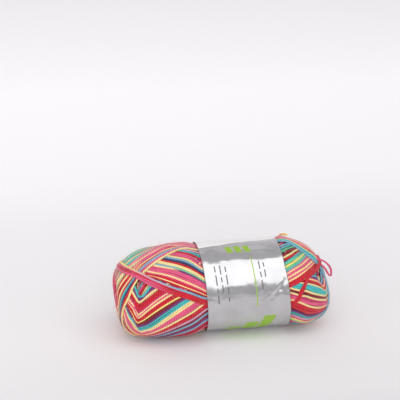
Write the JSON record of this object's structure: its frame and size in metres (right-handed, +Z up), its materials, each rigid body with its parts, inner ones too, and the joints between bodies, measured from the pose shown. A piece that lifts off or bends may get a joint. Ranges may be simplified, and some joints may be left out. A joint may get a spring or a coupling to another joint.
{
  "type": "ball of fine self-striping acrylic yarn",
  "caption": "Oval machine-wound skein of fine multicoloured yarn lying on its side, with a crinkled foil band round its waist.",
  "frame": {"origin": "under the middle of the skein's box, on the surface that it lies on", "axes": "+X along the skein towards its shorter free end, -Y its front, +Z up"},
  "size_m": [0.146, 0.0668, 0.0646],
  "materials": {
    "yarn": "soft twisted yarn in short stretches of pink, red, cream, yellow, turquoise and light blue",
    "foil": "satin silver foil paper, creased",
    "yarn_end": "soft twisted yarn, golden yellow"
  },
  "bodies": {
    "root": {"yarn_ball": "yarn", "foil_band": "foil", "loose_end": "yarn_end"}
  },
  "joints": []
}
